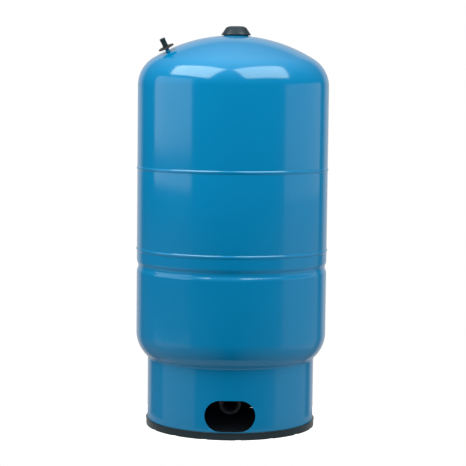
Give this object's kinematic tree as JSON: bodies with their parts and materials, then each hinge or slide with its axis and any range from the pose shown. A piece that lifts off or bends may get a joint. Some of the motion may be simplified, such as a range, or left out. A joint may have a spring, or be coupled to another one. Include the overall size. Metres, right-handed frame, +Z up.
{
  "type": "well pressure tank",
  "caption": "Standing steel pressure tank for a well water system, with a dished body on a skirt, side air valve, top cap and a threaded elbow inlet behind the skirt's opening.",
  "frame": {"origin": "on the tank's axis, at the floor", "axes": "+Z up along the tank's axis, -Y out of the pipe opening and the inlet's mouth"},
  "size_m": [0.393, 0.393, 0.8195],
  "materials": {
    "blue_enamel": "gloss baked enamel on steel",
    "black_polymer": "moulded, semi-matt",
    "black_rubber": "moulded rubber",
    "natural_polymer": "moulded, natural",
    "stainless_steel": "cast and pickled",
    "zinc_steel": "zinc plated",
    "brass": "turned"
  },
  "bodies": {
    "tank": {"upper_dome": "blue_enamel", "middle_shell": "blue_enamel", "lower_dome": "blue_enamel", "upper_seam_weld": "blue_enamel", "lower_seam_weld": "blue_enamel", "shell_butt_weld": "blue_enamel", "stand_skirt": "blue_enamel", "skirt_weld": "blue_enamel", "skirt_butt_weld": "blue_enamel", "top_boss": "blue_enamel", "boss_weld": "blue_enamel", "valve_spud": "blue_enamel", "spud_weld": "blue_enamel", "base_ring": "black_polymer", "top_cap": "black_polymer", "valve_washer": "black_rubber", "diaphragm": "black_rubber", "inlet_seal": "black_rubber", "liner": "natural_polymer", "flow_diffuser": "natural_polymer", "core_seal": "natural_polymer", "inlet_elbow": "stainless_steel", "inlet_weld": "stainless_steel", "core_spring": "stainless_steel", "clench_ring": "zinc_steel", "valve_stem": "brass", "core_housing": "brass"},
    "cap_seal": {"cap_seal": "black_rubber"},
    "valve_cap": {"valve_cap": "black_polymer"},
    "core_pin": {"core_pin": "brass", "seat_disc": "black_rubber"}
  },
  "joints": [
    {"name": "cap_lift", "type": "slide", "parent": "tank", "child": "cap_seal", "axis": [-0.4219, -0.2058, 0.883], "range_m": [0, 0.00556]},
    {"name": "cap_turn", "type": "hinge", "parent": "cap_seal", "child": "valve_cap", "pos_m": [-0.14211, -0.06931, 0.78751], "axis": [-0.4219, -0.2058, 0.883], "range_deg": [0, 2521]},
    {"name": "pin_press", "type": "slide", "parent": "tank", "child": "core_pin", "axis": [-0.4219, -0.2058, 0.883], "range_m": [-0.0008, 0], "stiffness_N_per_m": 1000, "springref_m": 0.0015, "deforming": ["core_spring"]}
  ],
  "couplings": [
    {"joint": "cap_turn", "follows": "cap_lift", "rad_per_m": 7915.8}
  ]
}
